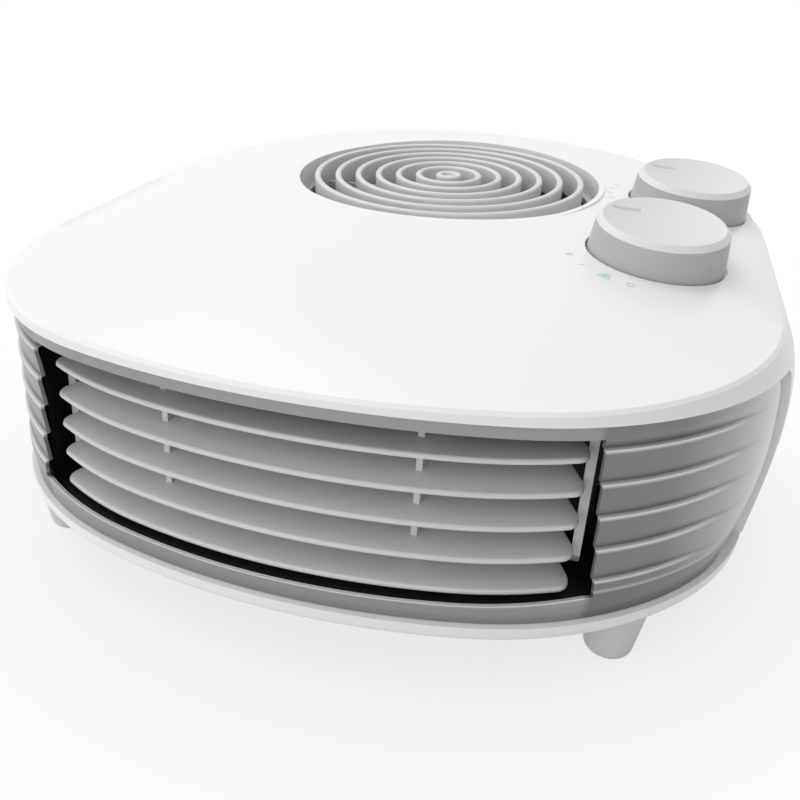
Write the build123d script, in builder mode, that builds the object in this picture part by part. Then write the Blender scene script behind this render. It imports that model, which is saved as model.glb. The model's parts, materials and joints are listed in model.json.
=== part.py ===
from build123d import *
import os
from math import acos, asin, atan, cos, degrees, radians, sin, sqrt, tan

os.makedirs("parts", exist_ok=True)

# A flat-lying ceramic fan heater. X is to the right, Y to the back, Z up, and the feet stand on Z = 0.
# Lengths are in millimetres and angles in degrees.

# Plan of the housing at its widest: broad front and back arcs, straight sides and four corner arcs
housing_width = 259.0
housing_depth = 257.0
front_radius = 195.0
corner_radius = 110.0
back_radius = 230.0
back_corner_radius = 92.0

# Heights of the housing, from the floor up
foot_height = 16.0
tray_lip_height = 4.4
bezel_height = 55.2
cover_lip_height = 4.6

# Barrel of the side walls, by levels: height above the parting line at the front, slope towards the back, and
# narrowing on each side. A narrower level has tighter front corners, so that the front itself stays upright.
base_level = (0.0, 0.0, 5.0)
belt_level = (24.0, 3.0, 0.0)
shoulder_level = (42.0, 6.3, 2.0)
rim_level = (52.0, 8.2, 8.5)
crest_level = (64.0, 8.2, 19.0)
corner_tightening = 2.11

# Crowned wedge of the top cover, with a brow that falls to the front lip
front_slope = 10.0
back_slope = 6.15
brow_drop = 2.3
brow_length = 28.0
crown_radius = 880.0
crown_sections = 13
rim_bevel = 0.8
shell_wall = 3.0
seam_gap = 0.2

# Front bezel and its flutes
bezel_setback = 1.0
bezel_wall = 3.4
bezel_length = 82.0
bezel_corner = 6.0
border_height = 8.0
border_depth = 1.3
border_reach = 12.0
border_narrowing = 1.8
end_border_depth = 1.3
end_border_turn = 7.0
opening_half_top = 76.4
opening_half_bottom = 80.0
top_strip = 3.3
bottom_strip = 4.2
top_strip_dip = 0.6
bottom_strip_rise = 1.9
flute_count = 5
flute_pitch = 9.17
flute_top_drop = 6.8
flute_depth = 2.0
flute_bead = 1.1
flute_fade_shift = 4.6
flute_fade_angle = 33.0

# Outlet louvre
louvre_setback = 5.0
louvre_half_span = 72.7
slat_count = 5
slat_pitch = 9.15
slat_front = 1.7
slat_back = 1.3
slat_depth = 18.0
slat_rise = 8.0
slat_round = 0.7
lowest_slat_height = 6.2
louvre_rib_x = 34.5
louvre_rib_wall = 1.6
louvre_end_wall = 2.4
louvre_rib_setback = 2.6
louvre_corner_cut = 6.0
louvre_rail = 1.5

# Outlet surround, the dark duct between the heater and the bezel
duct_half_width = 81.2
duct_wall = 1.8
duct_length = 54.5

# Base tray and feet
tray_setback = 0.4
tray_floor = 2.4
tray_round = 2.2
tongue_wall = 1.6
tongue_height = 3.0
tower_radius = 6.0
tower_height = 8.0
foot_edge_inset = 10.5
foot_front_angle = 46.0
foot_back_angle = 45.0
foot_top_radius = 9.0
foot_base_radius = 6.4
foot_round = 3.0
foot_spigot_radius = 4.0
foot_spigot_length = 4.0
foot_fit = 0.1

# Case screws
screw_shank_radius = 1.5
screw_head_radius = 3.5
screw_head_height = 2.2
screw_seat_wall = 3.0
screw_bite = 10.0
screw_end_gap = 1.0
screw_fit = 0.05
head_fit = 0.6
boss_radius = 4.5
front_boss_inset = 18.4
front_boss_angle = 20.4
side_boss_inset = 13.0
side_boss_share = 0.56
back_boss_inset = 12.0
back_boss_x = 46.0

# Intake grille
grille_back_inset = 83.3
grille_radius = 60.0
collar_wall = 2.0
collar_depth = 11.0
ring_count = 7
ring_pitch = 8.13
ring_wall = 2.4
ring_height = 10.0
ring_sink = 0.7
ring_round = 0.9
hub_radius = 5.2
hub_dish = 1.2
rib_count = 6
rib_wall = 1.8
rib_height = 4.5
mount_ring_wall = 4.0
mount_ring_height = 2.0

# Control knobs
power_knob_inset = 46.6
power_knob_back = 141.7
thermostat_knob_inset = 36.0
thermostat_knob_back = 77.5
knob_lean_forward = 12.0
knob_lean_right = 3.0
knob_base_radius = 21.9
knob_top_radius = 20.6
knob_height = 12.9
knob_wall = 1.8
knob_chamfer = 1.7
knob_dish_depth = 1.5
knob_gap = 0.6
pointer_length = 9.5
pointer_width = 1.0
pointer_depth = 0.7
pointer_reach = 14.0
pointer_bearing = 143.0
pointer_turn = 21.0
well_depth = 1.6
pad_wall = 2.4
pad_rim = 2.0
pad_seat_depth = 2.0

# Switch and thermostat under the knobs
bush_radius = 4.5
bush_height = 2.4
bush_fit = 0.1
nut_width = 12.0
nut_height = 2.0
spindle_radius = 3.0
running_fit = 0.05
spindle_engagement = 4.3
knob_hub_wall = 2.5
switch_width = 28.0
switch_height = 20.0
switch_round = 2.5
switch_tab_width = 4.8
switch_tab_length = 7.0
switch_tab_wall = 0.8
thermostat_radius = 15.0
thermostat_height = 14.0
thermostat_frame_wall = 1.5
thermostat_frame_length = 34.0

# Blower: scroll housing, wheel and motor
scroll_radius = 68.0
scroll_step = 4.0
scroll_wall = 2.0
scroll_floor = 2.0
scroll_tongue_angle = 60.0
scroll_height = 57.0
inlet_radius = 44.0
inlet_plate = 2.0
inlet_lip_height = 3.0
inlet_lip_wall = 1.6
wheel_radius = 52.0
wheel_inner_radius = 40.0
wheel_floor_height = 28.0
wheel_disc = 1.6
blade_count = 24
blade_wall = 1.2
blade_height = 22.0
blade_lean = 28.0
wheel_hub_radius = 7.0
wheel_hub_height = 13.0
motor_radius = 18.0
motor_height = 21.0
motor_round = 1.5
motor_boss_radius = 5.5
motor_boss_height = 2.5
motor_vent_count = 8
motor_vent_length = 6.0
motor_vent_width = 2.0
motor_vent_depth = 1.0
shaft_radius = 2.0
shaft_sink = 16.0
bracket_width = 62.0
bracket_depth = 34.0
bracket_wall = 2.0
motor_cup_wall = 1.5
motor_cup_height = 6.0
bracket_screw_x = 25.0
small_shank_radius = 1.4
small_head_radius = 2.8
small_head_height = 2.0

# Ceramic heater core
core_depth = 18.0
core_half_width = 68.0
core_frame_side = 9.0
core_frame_wall = 3.6
fin_rows = 3
fin_height = 12.0
fin_plate = 0.8
fin_wall = 0.6
fin_count = 28
fin_end_margin = 2.0
stone_count = 5
stone_length = 24.0
stone_height = 2.6
stone_depth = 15.0
electrode_wall = 0.7
electrode_tab_length = 16.0
electrode_tab_width = 6.3
core_fit = 0.15
core_foot_width = 14.0
core_foot_x = 58.0

# Protection and wiring pieces
cutout_radius = 8.0
cutout_height = 5.0
cutout_flange_width = 24.0
cutout_flange_depth = 9.0
cutout_flange_wall = 1.0
cutout_x = -36.0
fuse_radius = 2.2
fuse_length = 12.0
fuse_lead_radius = 0.6
fuse_lead_length = 5.0
fuse_saddle_wall = 1.2
fuse_x = 30.0
terminal_width = 14.0
terminal_length = 26.0
terminal_height = 13.0
terminal_chamfer = 1.0
terminal_inset = 31.0
terminal_back = 128.0
terminal_ways = 3
terminal_hole_radius = 2.0
gland_x = 36.0
gland_height = 18.0
gland_radius = 6.0
gland_flange_radius = 9.0
gland_flange_wall = 2.2
gland_tail = 7.0
gland_bore_radius = 3.6
gland_fit = 0.1

# Lengths that only reach past the housing while cutting
past = 10.0

# Levels and centres worked out from the sizes above
half_width = housing_width / 2
front_y = -housing_depth / 2
back_y = housing_depth / 2
back_centre_y = back_y - back_radius
front_centre_y = front_y + front_radius
corner_x = half_width - corner_radius
corner_y = front_centre_y - sqrt((front_radius - corner_radius) ** 2 - corner_x**2)
front_half_angle = degrees(asin(corner_x / (front_radius - corner_radius)))
base_half_width = half_width - base_level[2]
base_corner_radius = corner_radius - corner_tightening * base_level[2]
base_corner_x = base_half_width - base_corner_radius
base_corner_y = front_centre_y - sqrt((front_radius - base_corner_radius) ** 2 - base_corner_x**2)
base_back_x = base_half_width - back_corner_radius
base_back_y = back_centre_y + sqrt((back_radius - back_corner_radius) ** 2 - base_back_x**2)
parting_z = foot_height + tray_lip_height
lip_z = parting_z + bezel_height
front_top_z = lip_z + cover_lip_height
floor_z = foot_height + tray_floor
bezel_end_y = front_y + bezel_length
bezel_inner = bezel_setback + bezel_wall
opening_bottom_z = parting_z + bottom_strip
opening_top_z = lip_z - top_strip
heater_front_y = front_y + duct_length
heater_back_y = heater_front_y + core_depth
grille_y = back_y - grille_back_inset

# Long section of the crowned top: a parabola that flattens from the front slope to the back slope
front_rise = tan(radians(front_slope))
back_rise = tan(radians(back_slope))


def crest_height(y):
    """Height of the middle line of the top at y."""
    run = y - front_y
    brow = brow_drop * max(0, 1 - run / brow_length) ** 2
    return front_top_z + front_rise * run - (front_rise - back_rise) * run**2 / (2 * housing_depth) - brow


def crown_drop(x):
    """How far the crowned top lies below its middle line at x."""
    return crown_radius - sqrt(crown_radius**2 - x**2)


def top_height(x, y):
    """Height of the crowned top over a point of the plan."""
    return crest_height(y) - crown_drop(x)


def outline(inset, narrowing, depth):
    """Plan of one level of the housing from its front middle back, a distance inside its edge."""
    half = half_width - narrowing
    corner = corner_radius - corner_tightening * narrowing
    side_x = half - corner
    side_y = front_radius - sqrt((front_radius - corner) ** 2 - side_x**2)
    front_angle = degrees(asin(side_x / (front_radius - corner)))
    end_x = half - back_corner_radius
    end_y = depth - back_radius + sqrt((back_radius - back_corner_radius) ** 2 - end_x**2)
    back_angle = degrees(asin(end_x / (back_radius - back_corner_radius)))
    with BuildSketch() as plan:
        with BuildLine():
            CenterArc((0, front_radius), front_radius - inset, -90 - front_angle, 2 * front_angle)
            CenterArc((side_x, side_y), corner - inset, front_angle - 90, 90 - front_angle)
            Line((half - inset, side_y), (half - inset, end_y))
            CenterArc((end_x, end_y), back_corner_radius - inset, 0, 90 - back_angle)
            CenterArc((0, depth - back_radius), back_radius - inset, 90 - back_angle, 2 * back_angle)
            CenterArc((-end_x, end_y), back_corner_radius - inset, 90 + back_angle, 90 - back_angle)
            Line((inset - half, end_y), (inset - half, side_y))
            CenterArc((-side_x, side_y), corner - inset, 180, 90 - front_angle)
        make_face()
    return plan.sketch


def base_outline(inset):
    """Plan of the housing at the parting line, a distance inside its edge."""
    return Pos(0, front_y, 0) * outline(inset, base_level[2], housing_depth)


def barrel_block(inset):
    """Solid within the side walls above the parting line, lofted through the levels of the barrel."""
    with BuildPart() as block:
        for height, slope, narrowing in (base_level, belt_level, shoulder_level, rim_level, crest_level):
            tilt = radians(slope)
            level = Plane((0, front_y, parting_z + height), x_dir=(1, 0, 0), z_dir=(0, -sin(tilt), cos(tilt)))
            with BuildSketch(level):
                add(outline(inset, narrowing, housing_depth / cos(tilt)))
        loft()
    return block.part


def crowned_block(sink):
    """Solid below the crowned top, with its surface lowered by sink, lofted through cross arcs."""
    reach = half_width + past
    with BuildPart() as block:
        for index in range(crown_sections):
            section_y = front_y - past + index * (housing_depth + 2 * past) / (crown_sections - 1)
            crest = crest_height(section_y) - sink
            edge = crest - crown_drop(reach)
            with BuildSketch(Plane.XZ.offset(-section_y)):
                with BuildLine():
                    ThreePointArc((-reach, edge), (0, crest), (reach, edge))
                    Polyline((reach, edge), (reach, 0), (-reach, 0), (-reach, edge))
                make_face()
        loft()
    return block.part


def notch(gap):
    """Side view of the space that the bezel takes under the cover lip, less a gap."""
    length = bezel_length + past - gap
    height = bezel_height - gap
    with BuildSketch(Plane.YZ) as side:
        with Locations((bezel_end_y - gap, lip_z - gap)):
            Rectangle(length, height, align=(Align.MAX, Align.MAX))
        fillet(side.vertices().group_by(Axis.Y)[-1].sort_by(Axis.X)[-1], bezel_corner - gap)
    return side.sketch


def front_line_y(x, inset):
    """Y of the housing front at x, on the line a distance inside its edge."""
    meeting_x = (front_radius - inset) * sin(radians(front_half_angle))
    if abs(x) <= meeting_x:
        return front_centre_y - sqrt((front_radius - inset) ** 2 - x**2)
    return corner_y - sqrt((corner_radius - inset) ** 2 - (abs(x) - corner_x) ** 2)


def front_path(inset, half_span):
    """Arcs along the housing front, from its left end to its right end."""
    span_angle = degrees(asin(half_span / (front_radius - inset)))
    front_angle = min(front_half_angle, span_angle)
    with BuildLine() as path:
        CenterArc((0, front_centre_y), front_radius - inset, -90 - front_angle, 2 * front_angle)
        if span_angle > front_half_angle:
            end_angle = degrees(acos((half_span - corner_x) / (corner_radius - inset)))
            corner_turn = 90 - front_half_angle - end_angle
            CenterArc((-corner_x, corner_y), corner_radius - inset, 180 + end_angle, corner_turn)
            CenterArc((corner_x, corner_y), corner_radius - inset, front_half_angle - 90, corner_turn)
    return path.wires()[0]


def section_plane(path):
    """Plane across the start of a path in plan: local X points inwards and local Y up."""
    along = path % 0
    return Plane(origin=path @ 0, x_dir=Vector(0, 0, 1).cross(along), z_dir=along)


def control_plane(x, y):
    """Plane of a knob on the crowned top, with its Z along the knob's axis."""
    axis = Vector(tan(radians(knob_lean_right)), -tan(radians(knob_lean_forward)), 1)
    return Plane(origin=(x, y, top_height(x, y)), x_dir=(1, 0, 0), z_dir=axis)


grille_tilt = atan((crest_height(grille_y + past) - crest_height(grille_y - past)) / (2 * past))
grille_plane = Plane(
    origin=(0, grille_y, top_height(0, grille_y)),
    x_dir=(1, 0, 0),
    z_dir=(0, -sin(grille_tilt), cos(grille_tilt)),
)
power_plane = control_plane(half_width - power_knob_inset, back_y - power_knob_back)
thermostat_plane = control_plane(half_width - thermostat_knob_inset, back_y - thermostat_knob_back)
control_planes = [power_plane, thermostat_plane]
well_radius = knob_base_radius + knob_gap
pad_bottom = -well_depth - pad_wall

# Screw bosses, three on each side, along the inside of the wall
front_boss_reach = base_corner_radius - front_boss_inset
front_boss_x = base_corner_x + front_boss_reach * cos(radians(front_boss_angle))
front_boss_y = base_corner_y - front_boss_reach * sin(radians(front_boss_angle))
side_boss_x = base_half_width - side_boss_inset
side_boss_y = front_y + side_boss_share * housing_depth
back_boss_y = back_centre_y + sqrt((back_radius - back_boss_inset) ** 2 - back_boss_x**2)
boss_points = []
for side in (1, -1):
    boss_points.append((side * front_boss_x, front_boss_y))
    boss_points.append((side * side_boss_x, side_boss_y))
    boss_points.append((side * back_boss_x, back_boss_y))
boss_bottom_z = foot_height + tower_height

# Way of the cord through the back wall, square to the wall
gland_run = sqrt(back_radius**2 - gland_x**2)
gland_plane = Plane(
    origin=(gland_x, back_centre_y + gland_run, parting_z + gland_height),
    x_dir=(0, 0, 1),
    z_dir=(gland_x, gland_run, 0),
)

# Top cover: crowned shell with a low lip at the front and a full skirt at the sides and back
with BuildPart() as cover_cavity:
    add(barrel_block(shell_wall))
    add(crowned_block(shell_wall), mode=Mode.INTERSECT)

with BuildPart() as cover_bosses:
    with BuildSketch(Plane.XY.offset(boss_bottom_z)):
        with Locations(*boss_points):
            Circle(boss_radius)
    extrude(amount=housing_depth)
    add(crowned_block(shell_wall / 2), mode=Mode.INTERSECT)
    with BuildSketch(Plane.XY.offset(boss_bottom_z)):
        with Locations(*boss_points):
            Circle(screw_shank_radius + screw_fit)
    extrude(amount=screw_bite + screw_end_gap, mode=Mode.SUBTRACT)

with BuildPart() as top_cover:
    add(barrel_block(0))
    add(crowned_block(0), mode=Mode.INTERSECT)
    chamfer(top_cover.faces().sort_by(Axis.Z)[-1].edges(), rim_bevel)
    add(cover_cavity.part, mode=Mode.SUBTRACT)
    # Space of the bezel below the lip
    extrude(notch(0), amount=housing_width, both=True, mode=Mode.SUBTRACT)
    # Collar of the intake
    with BuildSketch(grille_plane.offset(-collar_depth)):
        Circle(grille_radius + collar_wall)
    extrude(amount=collar_depth - shell_wall / 2)
    # Pads that carry the switch and the thermostat
    for plane in control_planes:
        with BuildSketch(plane.offset(pad_bottom)):
            Circle(well_radius + pad_rim)
        extrude(amount=pad_wall)
        with BuildSketch(plane.offset(pad_bottom)):
            Circle(knob_base_radius)
        extrude(amount=-pad_seat_depth, mode=Mode.SUBTRACT)
    add(cover_bosses.part)
    # Intake opening, knob wells, holes for the bushes and the cord gland
    with BuildSketch(grille_plane.offset(-collar_depth - past)):
        Circle(grille_radius)
    extrude(amount=collar_depth + 2 * past, mode=Mode.SUBTRACT)
    for plane in control_planes:
        with BuildSketch(plane.offset(-well_depth)):
            Circle(well_radius)
        extrude(amount=past, mode=Mode.SUBTRACT)
        with BuildSketch(plane.offset(pad_bottom)):
            Circle(bush_radius + bush_fit)
        extrude(amount=past, mode=Mode.SUBTRACT)
    with BuildSketch(gland_plane):
        Circle(gland_radius + gland_fit)
    extrude(amount=past, both=True, mode=Mode.SUBTRACT)

top_cover.part.label = "top_cover"
export_step(top_cover.part, "parts/top_cover.step")

# Intake grille: rings on radial ribs, with a flange that seats under the collar
with BuildPart() as intake_grille:
    with BuildSketch(grille_plane.offset(-ring_sink - ring_height)):
        for index in reversed(range(ring_count)):
            Circle(hub_radius + index * ring_pitch)
            Circle(hub_radius + index * ring_pitch - ring_wall, mode=Mode.SUBTRACT)
    extrude(amount=ring_height)
    grille_axis = Axis(grille_plane.origin, grille_plane.z_dir)
    fillet(intake_grille.faces().group_by(grille_axis)[-1].edges(), ring_round)
    with BuildSketch(grille_plane.offset(-ring_sink - ring_height)):
        Circle(hub_radius - ring_wall / 2)
    extrude(amount=ring_height - hub_dish)
    with BuildSketch(grille_plane.offset(-collar_depth - mount_ring_height)):
        Circle(grille_radius + mount_ring_wall)
        Circle(grille_radius - collar_wall, mode=Mode.SUBTRACT)
    extrude(amount=mount_ring_height)
    rib_length = grille_radius + collar_wall - hub_radius / 2
    with BuildSketch(grille_plane.offset(-collar_depth - mount_ring_height)):
        with PolarLocations(hub_radius / 2 + rib_length / 2, rib_count):
            Rectangle(rib_length, rib_wall)
    extrude(amount=rib_height)
    with BuildSketch(grille_plane.offset(-collar_depth)):
        Circle(grille_radius + mount_ring_wall)
        Circle(grille_radius - collar_wall, mode=Mode.SUBTRACT)
    extrude(amount=rib_height, mode=Mode.SUBTRACT)

intake_grille.part.label = "intake_grille"
export_step(intake_grille.part, "parts/intake_grille.step")

# Front bezel: bowed band with the outlet opening and flutes that fade out towards the sides
with BuildPart() as flute_cutters:
    for side in (1, -1):
        fade = Vector(flute_fade_shift, 0, 0).rotate(Axis.Z, flute_fade_angle)
        axis_point = Vector(side * (corner_x + fade.X), corner_y + fade.Y, 0)
        face_radius = corner_radius - bezel_setback
        for index in range(flute_count):
            ledge_z = lip_z - flute_top_drop - index * flute_pitch
            crest_z = min(ledge_z + flute_pitch - flute_bead, opening_top_z)
            with BuildSketch(Plane(origin=axis_point, x_dir=(1, 0, 0), z_dir=(0, -1, 0))):
                with BuildLine():
                    Polyline(
                        (face_radius - flute_depth, ledge_z),
                        (face_radius + past, ledge_z),
                        (face_radius + past, crest_z),
                        (face_radius, crest_z),
                        close=True,
                    )
                make_face()
            revolve(axis=Axis(axis_point, (0, 0, 1)))

# Block that leaves a bevelled border along the bottom of the bezel: its wall leans in below the border's height
border_inset = bezel_setback + border_depth
border_lean = border_depth * border_reach / border_height
with BuildPart() as border_block:
    with BuildSketch(Plane.XY.offset(parting_z)):
        add(base_outline(border_inset))
    with BuildSketch(Plane.XY.offset(parting_z + border_reach)):
        with Locations((0, front_y)):
            add(outline(border_inset - border_lean, border_narrowing, housing_depth))
    loft(ruled=True)
    extrude(border_block.faces().sort_by(Axis.Z)[-1], amount=bezel_height)

# Upright cutters that bevel the two ends of the bezel in the same way
belt_end_x = corner_x + sqrt((corner_radius - bezel_setback) ** 2 - (corner_y - bezel_end_y) ** 2)
with BuildPart() as end_cutters:
    for side, outwards in ((1, Align.MIN), (-1, Align.MAX)):
        end_corner = (side * (belt_end_x - end_border_depth), bezel_end_y, 0)
        with BuildSketch(Plane.XY.offset(parting_z)):
            with Locations(Location(end_corner, (0, 0, -side * end_border_turn))):
                Rectangle(past, 2 * bezel_length, align=(outwards, Align.CENTER))
        extrude(amount=bezel_height)

with BuildPart() as front_bezel:
    add(barrel_block(bezel_setback))
    add(barrel_block(bezel_inner), mode=Mode.SUBTRACT)
    extrude(notch(seam_gap), amount=housing_width, both=True, mode=Mode.INTERSECT)
    add(border_block.part, mode=Mode.INTERSECT)
    add(end_cutters.part, mode=Mode.SUBTRACT)
    add(flute_cutters.part, mode=Mode.SUBTRACT)
    with BuildSketch(Plane.XZ.offset(-heater_front_y)):
        with BuildLine():
            ThreePointArc(
                (-opening_half_bottom, opening_bottom_z + bottom_strip_rise),
                (0, opening_bottom_z),
                (opening_half_bottom, opening_bottom_z + bottom_strip_rise),
            )
            Line(
                (opening_half_bottom, opening_bottom_z + bottom_strip_rise),
                (opening_half_top, opening_top_z - top_strip_dip),
            )
            ThreePointArc(
                (opening_half_top, opening_top_z - top_strip_dip),
                (0, opening_top_z),
                (-opening_half_top, opening_top_z - top_strip_dip),
            )
            Line(
                (-opening_half_top, opening_top_z - top_strip_dip),
                (-opening_half_bottom, opening_bottom_z + bottom_strip_rise),
            )
        make_face()
    extrude(amount=duct_length + past, mode=Mode.SUBTRACT)

front_bezel.part.label = "front_bezel"
export_step(front_bezel.part, "parts/front_bezel.step")

# Outlet louvre: bowed slats on upright ribs, hung from a rail under the duct ceiling
slat_path = front_path(louvre_setback, louvre_half_span)
slat_plane = section_plane(slat_path)
slat_lift = slat_depth * tan(radians(slat_rise))
lowest_slat_z = parting_z + lowest_slat_height
duct_ceiling_z = opening_top_z + seam_gap

with BuildPart() as outlet_louvre:
    for index in range(slat_count):
        slat_z = lowest_slat_z + index * slat_pitch
        with BuildSketch(slat_plane) as slat:
            with BuildLine():
                Polyline(
                    (0, slat_z),
                    (0, slat_z + slat_front),
                    (slat_depth, slat_z + slat_lift + slat_front),
                    (slat_depth, slat_z + slat_lift + slat_front - slat_back),
                    close=True,
                )
            make_face()
            fillet(slat.vertices().group_by(Axis.X)[0], slat_round)
        sweep(path=slat_path)
    with BuildSketch(slat_plane):
        with Locations((louvre_rib_setback, duct_ceiling_z)):
            Rectangle(slat_depth - louvre_rib_setback, louvre_rail, align=(Align.MIN, Align.MAX))
    sweep(path=slat_path)
    end_x = louvre_half_span - louvre_end_wall / 2
    for rib_x, wall in ((louvre_rib_x, louvre_rib_wall), (end_x, louvre_end_wall)):
        rib_front_y = front_line_y(rib_x, louvre_setback) + louvre_rib_setback
        rib_back_y = rib_front_y + slat_depth - louvre_rib_setback
        for side in (1, -1):
            with BuildSketch(Plane.YZ.offset(side * rib_x)):
                with BuildLine():
                    Polyline(
                        (rib_front_y + louvre_corner_cut, lowest_slat_z + slat_front),
                        (rib_front_y, lowest_slat_z + slat_front + louvre_corner_cut),
                        (rib_front_y, duct_ceiling_z),
                        (rib_back_y, duct_ceiling_z),
                        (rib_back_y, lowest_slat_z + slat_front),
                        close=True,
                    )
                make_face()
            extrude(amount=wall / 2, both=True)

outlet_louvre.part.label = "outlet_louvre"
export_step(outlet_louvre.part, "parts/outlet_louvre.step")

# Outlet surround: dark duct that lines the opening behind the bezel
duct_bottom_z = opening_bottom_z - seam_gap - duct_wall
duct_top_z = duct_ceiling_z + duct_wall

with BuildPart() as outlet_surround:
    with BuildSketch(Plane.XY.offset(duct_bottom_z)):
        with Locations((0, heater_front_y)):
            Rectangle(2 * (duct_half_width + duct_wall), duct_length, align=(Align.CENTER, Align.MAX))
    extrude(amount=duct_top_z - duct_bottom_z)
    add(barrel_block(bezel_inner + seam_gap), mode=Mode.INTERSECT)
    with BuildSketch(Plane.XZ.offset(-heater_front_y)):
        with Locations((0, duct_bottom_z + duct_wall)):
            Rectangle(
                2 * duct_half_width,
                duct_ceiling_z - duct_bottom_z - duct_wall,
                align=(Align.CENTER, Align.MIN),
            )
    extrude(amount=duct_length, mode=Mode.SUBTRACT)

outlet_surround.part.label = "outlet_surround"
export_step(outlet_surround.part, "parts/outlet_surround.step")

# Base tray: shallow pan with a locating tongue, screw towers and foot sockets
tongue_inset = bezel_inner + seam_gap
foot_points = []
for side in (1, -1):
    front_reach = base_corner_radius - foot_edge_inset
    back_reach = back_corner_radius - foot_edge_inset
    foot_points.append(
        (
            side * (base_corner_x + front_reach * cos(radians(foot_front_angle))),
            base_corner_y - front_reach * sin(radians(foot_front_angle)),
        )
    )
    foot_points.append(
        (
            side * (base_back_x + back_reach * cos(radians(foot_back_angle))),
            base_back_y + back_reach * sin(radians(foot_back_angle)),
        )
    )

with BuildPart() as base_tray:
    with BuildSketch(Plane.XY.offset(foot_height)):
        add(base_outline(tray_setback))
    extrude(amount=tray_lip_height)
    fillet(base_tray.faces().sort_by(Axis.Z)[0].edges(), tray_round)
    with BuildSketch(Plane.XY.offset(parting_z)):
        add(base_outline(tongue_inset))
    extrude(amount=tongue_height)
    with BuildSketch(Plane.XY.offset(floor_z)):
        add(base_outline(tongue_inset + tongue_wall))
    extrude(amount=tray_lip_height + tongue_height, mode=Mode.SUBTRACT)
    # Room for the outlet surround
    with BuildSketch(Plane.XY.offset(parting_z)):
        with Locations((0, front_y)):
            Rectangle(
                2 * (duct_half_width + duct_wall + seam_gap), duct_length, align=(Align.CENTER, Align.MIN)
            )
    extrude(amount=tongue_height, mode=Mode.SUBTRACT)
    with BuildSketch(Plane.XY.offset(floor_z)):
        with Locations(*boss_points):
            Circle(tower_radius)
    extrude(amount=boss_bottom_z - floor_z)
    with Locations(*[(x, y, foot_height) for x, y in boss_points]):
        with Locations(Location((0, 0, 0), (180, 0, 0))):
            CounterBoreHole(
                radius=screw_shank_radius + screw_fit,
                counter_bore_radius=screw_head_radius + head_fit,
                counter_bore_depth=tower_height - screw_seat_wall,
                depth=tower_height,
            )
    with Locations(*[(x, y, floor_z) for x, y in foot_points]):
        Hole(radius=foot_spigot_radius + foot_fit, depth=tray_floor)

base_tray.part.label = "base_tray"
export_step(base_tray.part, "parts/base_tray.step")

# Four feet: tapered studs with rounded ends, pushed into the tray
foot_names = ["foot_front_right", "foot_rear_right", "foot_front_left", "foot_rear_left"]
for name, (foot_x, foot_y) in zip(foot_names, foot_points):
    with BuildPart() as foot:
        with BuildSketch(Plane(origin=(foot_x, foot_y, 0), x_dir=(1, 0, 0), z_dir=(0, -1, 0))) as profile:
            with BuildLine():
                Polyline(
                    (0, 0),
                    (foot_base_radius, 0),
                    (foot_top_radius, foot_height),
                    (foot_spigot_radius, foot_height),
                    (foot_spigot_radius, foot_height + foot_spigot_length),
                    (0, foot_height + foot_spigot_length),
                    close=True,
                )
            make_face()
            fillet(profile.vertices().group_by(Axis.Y)[0].sort_by(Axis.X)[-1], foot_round)
        revolve(axis=Axis((foot_x, foot_y, 0), (0, 0, 1)))
    foot.part.label = name
    export_step(foot.part, f"parts/{name}.step")

# Case screws, driven up from the tray into the cover
screw_seat_z = foot_height + tower_height - screw_seat_wall

with BuildPart() as case_screws:
    with BuildSketch(Plane.XY.offset(screw_seat_z - screw_head_height)):
        with Locations(*boss_points):
            Circle(screw_head_radius)
    extrude(amount=screw_head_height)
    with BuildSketch(Plane.XY.offset(screw_seat_z)):
        with Locations(*boss_points):
            Circle(screw_shank_radius)
    extrude(amount=screw_seat_wall + screw_bite)

case_screws.part.label = "case_screws"
export_step(case_screws.part, "parts/case_screws.step")

# Knobs: hollow cones with a chamfered rim, a dished face, a pointer groove and a hub for the spindle
knob_bottom = -well_depth + knob_gap
knob_top = knob_bottom + knob_height
dish_radius = (knob_top_radius - knob_chamfer) ** 2 / (2 * knob_dish_depth) + knob_dish_depth / 2
hub_bottom = knob_top - knob_dish_depth - knob_wall - spindle_engagement
spindle_top = knob_top - knob_dish_depth - knob_wall

knob_parts = []
for plane in control_planes:
    with BuildPart() as knob:
        with BuildSketch(Plane(origin=plane.origin, x_dir=plane.x_dir, z_dir=-plane.y_dir)):
            with BuildLine():
                Polyline(
                    (0, knob_top),
                    (0, spindle_top),
                    (knob_top_radius - knob_wall, spindle_top),
                    (knob_base_radius - knob_wall, knob_bottom),
                    (knob_base_radius, knob_bottom),
                    (knob_top_radius, knob_top - knob_chamfer),
                    (knob_top_radius - knob_chamfer, knob_top),
                    close=True,
                )
            make_face()
        revolve(axis=Axis(plane.origin, plane.z_dir))
        with BuildSketch(plane.offset(hub_bottom)):
            Circle(spindle_radius + knob_hub_wall)
            Circle(spindle_radius + running_fit, mode=Mode.SUBTRACT)
        extrude(amount=spindle_engagement)
        dish_centre = plane.origin + plane.z_dir * (knob_top - knob_dish_depth + dish_radius)
        with Locations(Location(dish_centre)):
            Sphere(dish_radius, mode=Mode.SUBTRACT)
        with BuildSketch(plane.offset(knob_top - knob_dish_depth - pointer_depth / 2)):
            with PolarLocations(pointer_reach, 1, start_angle=pointer_bearing):
                with Locations(Location((0, 0, 0), (0, 0, pointer_turn - pointer_bearing))):
                    SlotOverall(pointer_length, pointer_width)
        extrude(amount=past, mode=Mode.SUBTRACT)
    knob_parts.append(knob.part)

power_knob, thermostat_knob = knob_parts
power_knob.label = "power_knob"
export_step(power_knob, "parts/power_knob.step")
thermostat_knob.label = "thermostat_knob"
export_step(thermostat_knob, "parts/thermostat_knob.step")

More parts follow.
